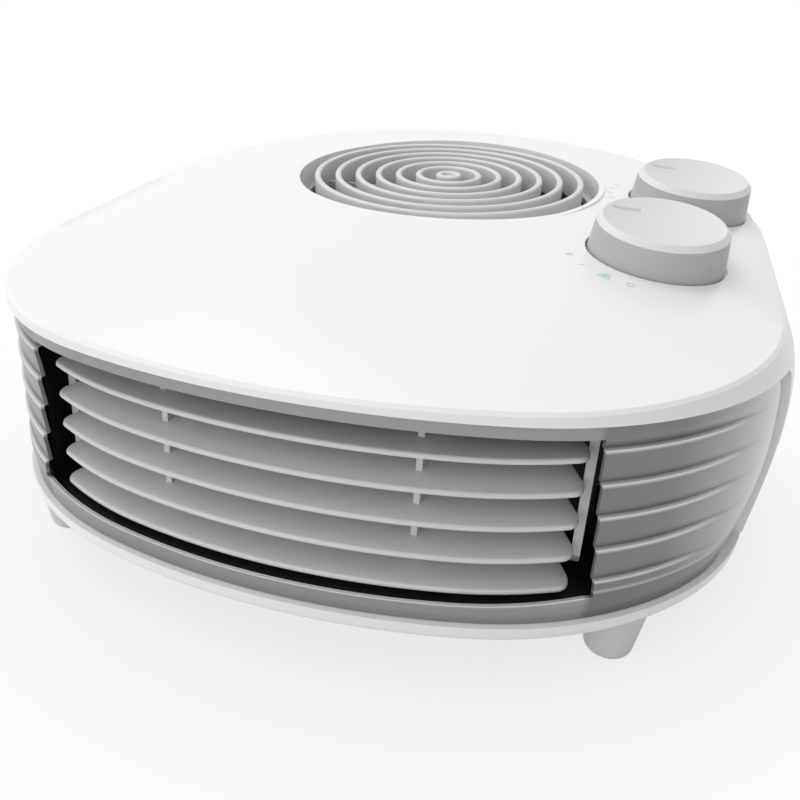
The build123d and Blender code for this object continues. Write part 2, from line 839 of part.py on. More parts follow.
# Spindles that turn with the knobs
spindle_foot = pad_bottom - switch_height / 2
spindle_parts = []
for plane in control_planes:
    with BuildPart() as spindle:
        with BuildSketch(plane.offset(spindle_foot)):
            Circle(spindle_radius)
        extrude(amount=spindle_top - spindle_foot)
    spindle_parts.append(spindle.part)

power_spindle, thermostat_spindle = spindle_parts
power_spindle.label = "power_spindle"
export_step(power_spindle, "parts/power_spindle.step")
thermostat_spindle.label = "thermostat_spindle"
export_step(thermostat_spindle, "parts/thermostat_spindle.step")

# Rotary power switch: square case with a bush, and blade terminals below
with BuildPart() as power_switch:
    with BuildSketch(power_plane.offset(pad_bottom - switch_height)):
        RectangleRounded(switch_width, switch_width, switch_round)
    extrude(amount=switch_height)
    with BuildSketch(power_plane.offset(pad_bottom)):
        Circle(bush_radius)
    extrude(amount=pad_wall + bush_height)
    with BuildSketch(power_plane.offset(pad_bottom - switch_height - switch_tab_length)):
        with GridLocations(switch_width / 2, switch_width / 2, 2, 2):
            Rectangle(switch_tab_wall, switch_tab_width)
    extrude(amount=switch_tab_length)
    with BuildSketch(power_plane.offset(spindle_foot)):
        Circle(spindle_radius + running_fit)
    extrude(amount=switch_height + past, mode=Mode.SUBTRACT)

power_switch.part.label = "power_switch"
export_step(power_switch.part, "parts/power_switch.step")

# Room thermostat: round case on a strip frame, with a bush
with BuildPart() as room_thermostat:
    with BuildSketch(thermostat_plane.offset(pad_bottom - thermostat_frame_wall)):
        RectangleRounded(thermostat_frame_length, thermostat_radius, switch_round)
    extrude(amount=thermostat_frame_wall)
    with BuildSketch(thermostat_plane.offset(pad_bottom - thermostat_frame_wall - thermostat_height)):
        Circle(thermostat_radius)
    extrude(amount=thermostat_height)
    with BuildSketch(thermostat_plane.offset(pad_bottom)):
        Circle(bush_radius)
    extrude(amount=pad_wall + bush_height)
    with BuildSketch(thermostat_plane.offset(spindle_foot)):
        Circle(spindle_radius + running_fit)
    extrude(amount=switch_height + past, mode=Mode.SUBTRACT)

room_thermostat.part.label = "room_thermostat"
export_step(room_thermostat.part, "parts/room_thermostat.step")

# Nuts that clamp the two bushes in the knob wells
with BuildPart() as bush_nuts:
    for plane in control_planes:
        with BuildSketch(plane.offset(-well_depth)):
            RegularPolygon(nut_width / 2, 6, major_radius=False)
            Circle(bush_radius + bush_fit, mode=Mode.SUBTRACT)
        extrude(amount=nut_height)

bush_nuts.part.label = "bush_nuts"
export_step(bush_nuts.part, "parts/bush_nuts.step")

# Scroll housing of the blower: floor and spiral wall, open to the heater at the front
scroll_back_radius = scroll_radius - scroll_step
scroll_end_radius = scroll_radius - 2 * scroll_step
scroll_front_y = heater_back_y + seam_gap
scroll_top_z = floor_z + scroll_height


def scroll_line():
    """Inner line of the spiral wall, from the left end at the heater round to the right end."""
    with BuildLine() as line:
        side = Line((-scroll_radius, scroll_front_y), (-scroll_radius, grille_y))
        wide = JernArc(side @ 1, side % 1, scroll_radius, -90)
        middle = JernArc(wide @ 1, wide % 1, scroll_back_radius, -90)
        close_in = JernArc(middle @ 1, middle % 1, scroll_end_radius, -scroll_tongue_angle)
        Line(close_in @ 1, (scroll_radius, scroll_front_y))
    return line.wires()[0]


with BuildSketch() as scroll_wall_plan:
    with BuildLine():
        add(scroll_line())
        offset(amount=scroll_wall, side=Side.LEFT)
    make_face()

with BuildSketch() as scroll_floor_plan:
    with BuildLine():
        add(scroll_line())
        Line((scroll_radius, scroll_front_y), (-scroll_radius, scroll_front_y))
    make_face()

with BuildPart() as scroll_housing:
    with BuildSketch(Plane.XY.offset(floor_z)):
        add(scroll_floor_plan.sketch)
        add(scroll_wall_plan.sketch)
    extrude(amount=scroll_floor)
    with BuildSketch(Plane.XY.offset(floor_z)):
        add(scroll_wall_plan.sketch)
    extrude(amount=scroll_height)
    with Locations(*[(side * bracket_screw_x, grille_y, floor_z + scroll_floor) for side in (1, -1)]):
        Hole(radius=small_shank_radius + screw_fit, depth=scroll_floor)

scroll_housing.part.label = "scroll_housing"
export_step(scroll_housing.part, "parts/scroll_housing.step")

# Inlet plate that closes the scroll, with a lipped inlet under the intake grille
with BuildPart() as inlet_plate_part:
    with BuildSketch(Plane.XY.offset(scroll_top_z)):
        add(scroll_floor_plan.sketch)
        add(scroll_wall_plan.sketch)
    extrude(amount=inlet_plate)
    with BuildSketch(Plane.XY.offset(scroll_top_z)):
        with Locations((0, grille_y)):
            Circle(inlet_radius + inlet_lip_wall)
    extrude(amount=inlet_plate + inlet_lip_height)
    with BuildSketch(Plane.XY.offset(scroll_top_z)):
        with Locations((0, grille_y)):
            Circle(inlet_radius)
    extrude(amount=inlet_plate + inlet_lip_height, mode=Mode.SUBTRACT)

inlet_plate_part.part.label = "inlet_plate"
export_step(inlet_plate_part.part, "parts/inlet_plate.step")

# Motor bracket: plate with a cup that holds the motor
bracket_z = floor_z + scroll_floor
motor_z = bracket_z + bracket_wall

with BuildPart() as motor_bracket:
    with BuildSketch(Plane.XY.offset(bracket_z)):
        with Locations((0, grille_y)):
            RectangleRounded(bracket_width, bracket_depth, switch_round)
            Circle(motor_radius + seam_gap + motor_cup_wall)
    extrude(amount=bracket_wall)
    with BuildSketch(Plane.XY.offset(motor_z)):
        with Locations((0, grille_y)):
            Circle(motor_radius + seam_gap + motor_cup_wall)
            Circle(motor_radius + seam_gap, mode=Mode.SUBTRACT)
    extrude(amount=motor_cup_height)
    with Locations(*[(side * bracket_screw_x, grille_y, motor_z) for side in (1, -1)]):
        Hole(radius=small_shank_radius + screw_fit, depth=bracket_wall)

motor_bracket.part.label = "motor_bracket"
export_step(motor_bracket.part, "parts/motor_bracket.step")

# Screws of the motor bracket
with BuildPart() as bracket_screws:
    with BuildSketch(Plane.XY.offset(floor_z)):
        with Locations((bracket_screw_x, grille_y), (-bracket_screw_x, grille_y)):
            Circle(small_shank_radius)
    extrude(amount=scroll_floor + bracket_wall)
    with BuildSketch(Plane.XY.offset(motor_z)):
        with Locations((bracket_screw_x, grille_y), (-bracket_screw_x, grille_y)):
            Circle(small_head_radius)
    extrude(amount=small_head_height)

bracket_screws.part.label = "bracket_screws"
export_step(bracket_screws.part, "parts/bracket_screws.step")

# Fan motor: round can with end boss and vent slots
motor_top_z = motor_z + motor_height

with BuildPart() as fan_motor:
    with BuildSketch(Plane.XY.offset(motor_z)):
        with Locations((0, grille_y)):
            Circle(motor_radius)
    extrude(amount=motor_height)
    fillet(fan_motor.faces().sort_by(Axis.Z)[-1].edges(), motor_round)
    with BuildSketch(Plane.XY.offset(motor_top_z)):
        with Locations((0, grille_y)):
            Circle(motor_boss_radius)
    extrude(amount=motor_boss_height)
    with BuildSketch(Plane.XY.offset(motor_top_z - motor_vent_depth)):
        with Locations((0, grille_y)):
            with PolarLocations((motor_radius + motor_boss_radius) / 2, motor_vent_count):
                SlotOverall(motor_vent_length, motor_vent_width)
    extrude(amount=motor_vent_depth, mode=Mode.SUBTRACT)
    with BuildSketch(Plane.XY.offset(motor_top_z - shaft_sink - running_fit)):
        with Locations((0, grille_y)):
            Circle(shaft_radius + running_fit)
    extrude(amount=shaft_sink + motor_boss_height + running_fit, mode=Mode.SUBTRACT)

fan_motor.part.label = "fan_motor"
export_step(fan_motor.part, "parts/fan_motor.step")

# Motor shaft, which carries the wheel
wheel_z = floor_z + wheel_floor_height

with BuildPart() as motor_shaft:
    with BuildSketch(Plane.XY.offset(motor_top_z - shaft_sink)):
        with Locations((0, grille_y)):
            Circle(shaft_radius)
    extrude(amount=wheel_z + wheel_hub_height - motor_top_z + shaft_sink)

motor_shaft.part.label = "motor_shaft"
export_step(motor_shaft.part, "parts/motor_shaft.step")

# Blower wheel: disc, hub, curved blades and a top ring
blade_chord = wheel_radius - wheel_inner_radius - blade_wall / 2

with BuildPart() as blower_wheel:
    with BuildSketch(Plane.XY.offset(wheel_z)):
        with Locations((0, grille_y)):
            Circle(wheel_radius)
    extrude(amount=wheel_disc)
    with BuildSketch(Plane.XY.offset(wheel_z)):
        with Locations((0, grille_y)):
            Circle(wheel_hub_radius)
    extrude(amount=wheel_hub_height)
    with BuildSketch(Plane.XY.offset(wheel_z + wheel_disc)):
        with Locations((0, grille_y)):
            with PolarLocations((wheel_radius + wheel_inner_radius) / 2, blade_count):
                with Locations(Location((0, 0, 0), (0, 0, blade_lean))):
                    Rectangle(blade_chord, blade_wall)
    extrude(amount=blade_height)
    with BuildSketch(Plane.XY.offset(wheel_z + blade_height)):
        with Locations((0, grille_y)):
            Circle(wheel_radius)
            Circle(wheel_inner_radius, mode=Mode.SUBTRACT)
    extrude(amount=wheel_disc)
    with BuildSketch(Plane.XY.offset(wheel_z)):
        with Locations((0, grille_y)):
            Circle(shaft_radius + running_fit)
    extrude(amount=wheel_hub_height, mode=Mode.SUBTRACT)

blower_wheel.part.label = "blower_wheel"
export_step(blower_wheel.part, "parts/blower_wheel.step")

# Heater core: rows of finned aluminium with ceramic stones between electrodes, in a frame
row_height = stone_height + 2 * electrode_wall
core_height = fin_rows * fin_height + (fin_rows - 1) * row_height
core_bottom_z = (opening_bottom_z + opening_top_z - core_height) / 2
core_centre_y = (heater_front_y + heater_back_y) / 2
row_bases = [core_bottom_z + fin_height + row * (fin_height + row_height) for row in range(fin_rows - 1)]
electrode_bases = []
for base in row_bases:
    electrode_bases.append(base)
    electrode_bases.append(base + electrode_wall + stone_height)

with BuildPart() as heater_frame:
    frame_half = core_half_width + core_frame_side
    with BuildSketch(Plane.XZ.offset(-heater_back_y)):
        with Locations((0, core_bottom_z - core_frame_wall)):
            Rectangle(
                2 * frame_half, core_height + 2 * core_frame_wall, align=(Align.CENTER, Align.MIN)
            )
        with Locations((0, core_bottom_z)):
            Rectangle(2 * core_half_width, core_height, align=(Align.CENTER, Align.MIN), mode=Mode.SUBTRACT)
    extrude(amount=core_depth)
    with BuildSketch(Plane.XY.offset(floor_z)):
        with Locations((core_foot_x, core_centre_y), (-core_foot_x, core_centre_y)):
            Rectangle(core_foot_width, core_depth)
    extrude(amount=core_bottom_z - core_frame_wall - floor_z)
    # Slots for the electrode tabs
    for base in electrode_bases:
        with BuildSketch(Plane.YZ.offset(core_half_width)):
            with Locations((core_centre_y, base - core_fit)):
                Rectangle(
                    electrode_tab_width + 2 * core_fit,
                    electrode_wall + 2 * core_fit,
                    align=(Align.CENTER, Align.MIN),
                )
        extrude(amount=core_frame_side, mode=Mode.SUBTRACT)

heater_frame.part.label = "heater_frame"
export_step(heater_frame.part, "parts/heater_frame.step")

fin_pitch = 2 * (core_half_width - fin_end_margin) / (fin_count - 1)

with BuildPart() as heater_fins:
    for row in range(fin_rows):
        fin_z = core_bottom_z + row * (fin_height + row_height)
        with BuildSketch(Plane.XZ.offset(-heater_back_y)):
            with Locations((0, fin_z + fin_plate / 2), (0, fin_z + fin_height - fin_plate / 2)):
                Rectangle(2 * (core_half_width - core_fit), fin_plate)
            with Locations((0, fin_z + fin_height / 2)):
                with GridLocations(fin_pitch, 1, fin_count, 1):
                    Rectangle(fin_wall, fin_height - fin_plate)
        extrude(amount=core_depth)

heater_fins.part.label = "heater_fins"
export_step(heater_fins.part, "parts/heater_fins.step")

with BuildPart() as ceramic_stones:
    for base in row_bases:
        with BuildSketch(Plane.XY.offset(base + electrode_wall)):
            with Locations((0, core_centre_y)):
                with GridLocations(2 * core_half_width / stone_count, 1, stone_count, 1):
                    Rectangle(stone_length, stone_depth)
        extrude(amount=stone_height)

ceramic_stones.part.label = "ceramic_stones"
export_step(ceramic_stones.part, "parts/ceramic_stones.step")

with BuildPart() as electrodes:
    for base in electrode_bases:
        with BuildSketch(Plane.XY.offset(base)):
            with Locations((0, core_centre_y)):
                Rectangle(2 * (core_half_width - core_fit), stone_depth)
            with Locations((core_half_width - core_fit, core_centre_y)):
                Rectangle(electrode_tab_length, electrode_tab_width, align=(Align.MIN, Align.CENTER))
        extrude(amount=electrode_wall)

electrodes.part.label = "electrodes"
export_step(electrodes.part, "parts/electrodes.step")

# Overheat cut-out: round button on a flange, on top of the heater frame
frame_top_z = core_bottom_z + core_height + core_frame_wall

with BuildPart() as overheat_cutout:
    with BuildSketch(Plane.XY.offset(frame_top_z)):
        with Locations((cutout_x, core_centre_y)):
            SlotOverall(cutout_flange_width, cutout_flange_depth)
    extrude(amount=cutout_flange_wall)
    with BuildSketch(Plane.XY.offset(frame_top_z)):
        with Locations((cutout_x, core_centre_y)):
            Circle(cutout_radius)
    extrude(amount=cutout_flange_wall + cutout_height)

overheat_cutout.part.label = "overheat_cutout"
export_step(overheat_cutout.part, "parts/overheat_cutout.step")

# Thermal fuse: small capsule with lead stubs, in a saddle on the heater frame
fuse_z = frame_top_z + fuse_saddle_wall + fuse_radius

with BuildPart() as thermal_fuse:
    with BuildSketch(Plane.YZ.offset(fuse_x - fuse_length / 2)):
        with Locations((core_centre_y, fuse_z)):
            Circle(fuse_radius)
        with Locations((core_centre_y, frame_top_z)):
            Rectangle(2 * fuse_radius, fuse_radius + fuse_saddle_wall, align=(Align.CENTER, Align.MIN))
    extrude(amount=fuse_length)
    with BuildSketch(Plane.YZ.offset(fuse_x)):
        with Locations((core_centre_y, fuse_z)):
            Circle(fuse_lead_radius)
    extrude(amount=fuse_length / 2 + fuse_lead_length, both=True)

thermal_fuse.part.label = "thermal_fuse"
export_step(thermal_fuse.part, "parts/thermal_fuse.step")

# Terminal block on the tray floor
terminal_x = base_half_width - terminal_inset
terminal_y = front_y + terminal_back

with BuildPart() as terminal_block:
    with BuildSketch(Plane.XY.offset(floor_z)):
        with Locations((terminal_x, terminal_y)):
            Rectangle(terminal_width, terminal_length)
    extrude(amount=terminal_height)
    chamfer(terminal_block.faces().sort_by(Axis.Z)[-1].edges(), terminal_chamfer)
    with BuildSketch(Plane.XY.offset(floor_z + terminal_height)):
        with Locations((terminal_x, terminal_y)):
            with GridLocations(1, terminal_length / terminal_ways, 1, terminal_ways):
                Circle(terminal_hole_radius)
    extrude(amount=-terminal_height / 2, mode=Mode.SUBTRACT)

terminal_block.part.label = "terminal_block"
export_step(terminal_block.part, "parts/terminal_block.step")

# Cord gland: flanged bush in the back wall
with BuildPart() as cord_gland:
    with BuildSketch(gland_plane):
        Circle(gland_flange_radius)
    extrude(amount=gland_flange_wall)
    with BuildSketch(gland_plane):
        Circle(gland_radius)
    extrude(amount=-shell_wall - gland_tail)
    with BuildSketch(gland_plane.offset(gland_flange_wall)):
        Circle(gland_bore_radius)
    extrude(amount=-gland_flange_wall - shell_wall - gland_tail, mode=Mode.SUBTRACT)

cord_gland.part.label = "cord_gland"
export_step(cord_gland.part, "parts/cord_gland.step")
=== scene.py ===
"""Looks of the flat ceramic fan heater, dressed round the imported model."""

import json
from math import asin, cos, pi, radians, sin, sqrt, tan

import bpy
from mathutils import Matrix, Vector
from mathutils.bvhtree import BVHTree


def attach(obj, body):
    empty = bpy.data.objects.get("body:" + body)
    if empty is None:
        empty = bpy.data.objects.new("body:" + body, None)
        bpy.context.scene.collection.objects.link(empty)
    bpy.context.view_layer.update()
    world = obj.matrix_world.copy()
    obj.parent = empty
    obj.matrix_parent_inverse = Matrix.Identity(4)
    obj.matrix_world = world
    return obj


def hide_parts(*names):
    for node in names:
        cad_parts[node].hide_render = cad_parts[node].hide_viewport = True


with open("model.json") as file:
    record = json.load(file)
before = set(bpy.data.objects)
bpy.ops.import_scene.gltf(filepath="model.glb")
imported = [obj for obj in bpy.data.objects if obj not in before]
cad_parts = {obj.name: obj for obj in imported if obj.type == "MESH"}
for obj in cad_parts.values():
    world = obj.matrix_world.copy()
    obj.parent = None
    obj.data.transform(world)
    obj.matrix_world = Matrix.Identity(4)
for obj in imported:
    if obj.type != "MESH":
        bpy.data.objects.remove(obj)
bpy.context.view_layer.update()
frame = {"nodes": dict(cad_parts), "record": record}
nodes = frame["nodes"]
joints = {joint["name"]: joint for joint in frame["record"]["behaviour"]["joints"]}
scene = bpy.context.scene

# The band, the louvre and the knobs are worked out in millimetres, and the scene is in metres
mm_per_metre = 1000


# Materials

gloss_scale = 40.0
gloss_vary = 0.05
grain_height = 0.0002


def new_material(name):
    """An empty node material and its shader."""
    material = bpy.data.materials.new(name)
    material.use_nodes = True
    return material, material.node_tree.nodes["Principled BSDF"]


def noise(tree, scale, detail=3.0):
    """Noise in the object's own metres."""
    place = tree.nodes.new("ShaderNodeTexCoord")
    texture = tree.nodes.new("ShaderNodeTexNoise")
    texture.inputs["Scale"].default_value = scale
    texture.inputs["Detail"].default_value = detail
    tree.links.new(place.outputs["Object"], texture.inputs["Vector"])
    return texture.outputs["Fac"]


def spread(tree, value, low, high):
    """Maps a 0 to 1 value onto a range."""
    node = tree.nodes.new("ShaderNodeMapRange")
    node.inputs["To Min"].default_value = low
    node.inputs["To Max"].default_value = high
    tree.links.new(value, node.inputs["Value"])
    return node.outputs["Result"]


def blend_colours(tree, value, dark, light):
    """Colour between two, by a 0 to 1 value."""
    node = tree.nodes.new("ShaderNodeMix")
    node.data_type = "RGBA"
    node.inputs["A"].default_value = (*dark, 1)
    node.inputs["B"].default_value = (*light, 1)
    tree.links.new(value, node.inputs["Factor"])
    return node.outputs["Result"]


def moulded(
    name,
    colour,
    rough,
    grain=0.06,
    grain_scale=2600.0,
    vary=0.02,
    cloud_scale=28.0,
    metallic=0.0,
    shine=0.5,
):
    """A moulded surface with faint cloudy colour, uneven gloss and a fine grain."""
    material, shader = new_material(name)
    tree = material.node_tree
    cloud = noise(tree, cloud_scale)
    dark = [channel * (1 - vary) for channel in colour]
    light = [min(1.0, channel * (1 + vary)) for channel in colour]
    tree.links.new(blend_colours(tree, cloud, dark, light), shader.inputs["Base Color"])
    gloss = noise(tree, gloss_scale, detail=0.0)
    uneven = spread(tree, gloss, rough * (1 - gloss_vary), rough * (1 + gloss_vary))
    tree.links.new(uneven, shader.inputs["Roughness"])
    bump = tree.nodes.new("ShaderNodeBump")
    bump.inputs["Strength"].default_value = grain
    bump.inputs["Distance"].default_value = grain_height
    tree.links.new(noise(tree, grain_scale, detail=2.0), bump.inputs["Height"])
    tree.links.new(bump.outputs["Normal"], shader.inputs["Normal"])
    shader.inputs["Metallic"].default_value = metallic
    shader.inputs["Specular IOR Level"].default_value = shine
    return material


def lighten_by_painted_light(material, light):
    """Paints highlights: lightens a paint where the mesh's painted-light value is high."""
    tree = material.node_tree
    shader = tree.nodes["Principled BSDF"]
    paint = shader.inputs["Base Color"].links[0].from_socket
    painted_light = tree.nodes.new("ShaderNodeAttribute")
    painted_light.attribute_name = "painted_light"
    mix = tree.nodes.new("ShaderNodeMix")
    mix.data_type = "RGBA"
    tree.links.new(painted_light.outputs["Fac"], mix.inputs["Factor"])
    tree.links.new(paint, mix.inputs["A"])
    mix.inputs["B"].default_value = (*light, 1)
    tree.links.new(mix.outputs["Result"], shader.inputs["Base Color"])


white_gloss = moulded("white_gloss", (0.85, 0.85, 0.85), 0.26, grain=0.01, grain_scale=700.0, vary=0.006)
grille_white = moulded("grille_white", (0.66, 0.66, 0.66), 0.36, grain=0.04)
# Two greys for one knob plastic: the side's darker grey is painted shade, and the face's lighter grey is
# the lit copy.
knob_grey = moulded("knob_grey", (0.45, 0.45, 0.455), 0.40, grain=0.10, shine=0.3)
knob_face = moulded("knob_face", (0.70, 0.70, 0.705), 0.34, grain=0.06)
# The band's dark silver paint is painted shade; the mesh's painted light mixes in the light grey as painted
# highlights.
bezel_silver = moulded(
    "bezel_silver",
    (0.14, 0.14, 0.143),
    0.30,
    grain=0.05,
    grain_scale=3600.0,
    vary=0.12,
    cloud_scale=5200.0,
    metallic=0.4,
)
lighten_by_painted_light(bezel_silver, (0.74, 0.74, 0.745))
louvre_grey = moulded("louvre_grey", (0.64, 0.64, 0.645), 0.42, grain=0.08)
duct_black = moulded("duct_black", (0.012, 0.012, 0.012), 0.50, grain=0.15, grain_scale=1400.0)
foot_grey = moulded("foot_grey", (0.62, 0.62, 0.62), 0.45, grain=0.10)
plated_steel = moulded("plated_steel", (0.55, 0.55, 0.54), 0.32, grain=0.10, grain_scale=1500.0, metallic=1)
motor_steel = moulded("motor_steel", (0.36, 0.36, 0.37), 0.40, grain=0.12, metallic=1)
inner_black = moulded("inner_black", (0.015, 0.015, 0.015), 0.55, grain=0.12)
phenolic = moulded("phenolic", (0.30, 0.24, 0.17), 0.55, grain=0.12)
bare_aluminium = moulded("bare_aluminium", (0.70, 0.70, 0.71), 0.30, grain=0.10, metallic=1)
fired_ceramic = moulded("fired_ceramic", (0.16, 0.155, 0.15), 0.75, grain=0.25, grain_scale=1200.0)
fuse_body = moulded("fuse_body", (0.60, 0.60, 0.57), 0.40)
gland_rubber = moulded("gland_rubber", (0.03, 0.03, 0.03), 0.65, grain=0.20)
teal_print = moulded("teal_print", (0.42, 0.70, 0.73), 0.40, grain=0.04, vary=0.08, cloud_scale=900.0)

looks = {
    "top_cover": white_gloss,
    "base_tray": white_gloss,
    "intake_grille": grille_white,
    "power_knob": knob_grey,
    "thermostat_knob": knob_grey,
    "front_bezel": bezel_silver,
    "outlet_louvre": louvre_grey,
    "outlet_surround": duct_black,
    "foot_front_right": foot_grey,
    "foot_rear_right": foot_grey,
    "foot_front_left": foot_grey,
    "foot_rear_left": foot_grey,
    "case_screws": plated_steel,
    "power_spindle": plated_steel,
    "thermostat_spindle": plated_steel,
    "bush_nuts": plated_steel,
    "motor_bracket": plated_steel,
    "bracket_screws": plated_steel,
    "motor_shaft": plated_steel,
    "overheat_cutout": plated_steel,
    "fan_motor": motor_steel,
    "scroll_housing": inner_black,
    "inlet_plate": inner_black,
    "blower_wheel": inner_black,
    "power_switch": inner_black,
    "heater_frame": inner_black,
    "room_thermostat": phenolic,
    "terminal_block": phenolic,
    "heater_fins": bare_aluminium,
    "electrodes": bare_aluminium,
    "ceramic_stones": fired_ceramic,
    "thermal_fuse": fuse_body,
    "cord_gland": gland_rubber,
}
for name, material in looks.items():
    mesh = nodes[name].data
    mesh.materials.clear()
    mesh.materials.append(material)


# Shading: smooth across flat edges, with points closer than a sliver joined

smooth_below = radians(25)
sliver_reach = 0.00004


def smooth_group():
    """A modifier that joins sliver points and shades smooth across the flatter edges."""
    group = bpy.data.node_groups.new("smooth_by_angle", "GeometryNodeTree")
    group.interface.new_socket("Geometry", in_out="INPUT", socket_type="NodeSocketGeometry")
    group.interface.new_socket("Geometry", in_out="OUTPUT", socket_type="NodeSocketGeometry")
    start = group.nodes.new("NodeGroupInput")
    end = group.nodes.new("NodeGroupOutput")
    faces = group.nodes.new("GeometryNodeSetShadeSmooth")
    edges = group.nodes.new("GeometryNodeSetShadeSmooth")
    edges.domain = "EDGE"
    edges.inputs["Shade Smooth"].default_value = False
    angle = group.nodes.new("GeometryNodeInputMeshEdgeAngle")
    compare = group.nodes.new("FunctionNodeCompare")
    compare.data_type = "FLOAT"
    compare.operation = "GREATER_THAN"
    compare.inputs["B"].default_value = smooth_below
    merge = group.nodes.new("GeometryNodeMergeByDistance")
    merge.inputs["Distance"].default_value = sliver_reach
    group.links.new(start.outputs["Geometry"], merge.inputs["Geometry"])
    group.links.new(merge.outputs["Geometry"], faces.inputs["Geometry"])
    group.links.new(faces.outputs["Geometry"], edges.inputs["Geometry"])
    group.links.new(angle.outputs["Unsigned Angle"], compare.inputs["A"])
    group.links.new(compare.outputs["Result"], edges.inputs["Selection"])
    group.links.new(edges.outputs["Geometry"], end.inputs["Geometry"])
    return group


smooth_by_angle = smooth_group()
for node in nodes.values():
    node.modifiers.new("smooth", "NODES").node_group = smooth_by_angle


def mesh_object(name, points, faces, material):
    """A new mesh object in the scene."""
    mesh = bpy.data.meshes.new(name)
    mesh.from_pydata(points, [], faces)
    mesh.materials.append(material)
    made = bpy.data.objects.new(name, mesh)
    scene.collection.objects.link(made)
    return made


# Silver front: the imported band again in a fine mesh, with soft flutes and a bevelled border

front_radius = 195.0
corner_radius = 110.0
corner_tightening = 2.11
half_width = 129.5
front_y = -128.5
parting_z = 20.4
# Levels of the barrel walls: height above the parting line, slope up to the back in degrees,
# and narrowing on each side
barrel_levels = ((0.0, 0.0, 5.0), (24.0, 3.0, 0.0), (42.0, 6.3, 2.0), (52.0, 8.2, 8.5), (64.0, 8.2, 19.0))
slope_item = 1
narrowing_item = 2
wall_passes = 6
angle_halvings = 24

band_setback = 1.0
band_wall = 1.0
band_bottom = 20.6
band_top = 75.4
band_end_y = -46.7
band_end_corner = 5.8
band_arc = 109.0
opening_half_bottom = 80.0
opening_half_top = 76.4
opening_bottom = 25.6
opening_bevel = 0.35
opening_bottom_rise = 1.9
opening_top = 72.3
opening_top_dip = 0.6
corner_bottom = opening_bottom + opening_bottom_rise
corner_top = opening_top - opening_top_dip

flute_count = 5
flute_start = 32.12
flute_pitch = 9.17
flute_ledges = [flute_start + flute_pitch * index for index in range(flute_count)]
flute_rise = 8.07
flute_ledge_height = 0.4
flute_depth = 1.15
flute_fade_start = 3.0
flute_fade_end = 42.0

border_bottom = 8.5
border_end = 9.0
border_corner = 28.0
border_lean = 0.16
border_blend = 1.5

# Painted light and shade on each stretch of the band, from 0 for painted shade to 1 for a painted highlight
strip_painted_light = 0.22
rail_painted_light = 0.28
border_painted_shade = 0.04
border_edge_painted_light = 0.5
field_painted_shade = 0.1
end_highlight_reach = 72.0
end_highlight_curve = 1.4
ledge_highlight_reach = 0.35

middle_columns = 24
side_columns = 90
columns = middle_columns + side_columns
strip_rows = 7
flute_rows = 6
rail_rows = 4
top_flute_rows = (0.0, flute_ledge_height, 1.2, 2.0)


def soft_step(share):
    """A share from 0 to 1 eased at both ends."""
    share = min(max(share, 0.0), 1.0)
    return share**2 * (3 - 2 * share)


def level_slope(index, item):
    """Rise of a level's item per millimetre, between its neighbours."""
    before = barrel_levels[max(index - 1, 0)]
    after = barrel_levels[min(index + 1, len(barrel_levels) - 1)]
    return (after[item] - before[item]) / (after[0] - before[0])


def along_levels(height, item):
    """A level's item at a height, on a smooth curve through the levels."""
    height = min(max(height, 0.0), barrel_levels[-1][0])
    index = max(i for i, level in enumerate(barrel_levels[:-1]) if level[0] <= height)
    low, high = barrel_levels[index], barrel_levels[index + 1]
    span = high[0] - low[0]
    t = (height - low[0]) / span
    low_slope = span * level_slope(index, item)
    high_slope = span * level_slope(index + 1, item)
    from_low = (2 * t**3 - 3 * t**2 + 1) * low[item] + (t**3 - 2 * t**2 + t) * low_slope
    to_high = (3 * t**2 - 2 * t**3) * high[item] + (t**3 - t**2) * high_slope
    return from_low + to_high


def plan_point(angle, narrowing, inset):
    """Point of the housing's plan whose wall faces an angle to the right of forward."""
    corner = corner_radius - corner_tightening * narrowing
    side_x = half_width - narrowing - corner
    if angle <= asin(side_x / (front_radius - corner)):
        radius = front_radius - inset
        return radius * sin(angle), front_y + front_radius - radius * cos(angle)
    side_y = front_radius - sqrt((front_radius - corner) ** 2 - side_x**2)
    return side_x + (corner - inset) * sin(angle), front_y + side_y - (corner - inset) * cos(angle)


def wall_point(angle, z, inset):
    """Point of the barrel wall at a height, whose levels slope up to the back."""
    height = z - parting_z
    for _ in range(wall_passes):
        x, y = plan_point(angle, along_levels(height, narrowing_item), inset)
        height = z - parting_z - (y - front_y) * tan(radians(along_levels(height, slope_item)))
    return x, y


def angle_where(reached):
    """The first wall angle at which a test on its point holds."""
    low, high = 0.0, pi / 2
    for _ in range(angle_halvings):
        between = (low + high) / 2
        if reached(between):
            high = between
        else:
            low = between
    return high


def edge_angle(z):
    """Wall angle of the opening's side at a height."""
    z = min(max(z, corner_bottom), corner_top)
    share = (z - corner_bottom) / (corner_top - corner_bottom)
    edge_x = opening_half_bottom + (opening_half_top - opening_half_bottom) * share
    return angle_where(lambda angle: wall_point(angle, z, band_setback)[0] > edge_x)


def end_angle(z):
    """Wall angle of the band's end at a height, with a round upper corner."""
    over = max(0.0, z - (band_top - band_end_corner))
    end_y = band_end_y - band_end_corner + sqrt(band_end_corner**2 - over**2)
    return angle_where(lambda angle: wall_point(angle, z, band_setback)[1] > end_y)


def flute_shape(z):
    """Depth of the flutes at a height, from 0 on the beads to 1 just above a ledge."""
    for ledge in flute_ledges:
        crest = min(ledge + flute_rise, opening_top)
        if ledge < z < crest:
            if z <= ledge + flute_ledge_height:
                return (z - ledge) / flute_ledge_height
            return (crest - z) / (crest - ledge - flute_ledge_height)
    return 0.0


def field_distance(from_end, z):
    """Distance inside the field that the border frames; it is negative on the border."""
    across = from_end - border_end
    upwards = z - band_bottom - border_bottom
    if across < border_corner and upwards < border_corner:
        return border_corner - sqrt((border_corner - across) ** 2 + (border_corner - upwards) ** 2)
    return min(across, upwards)


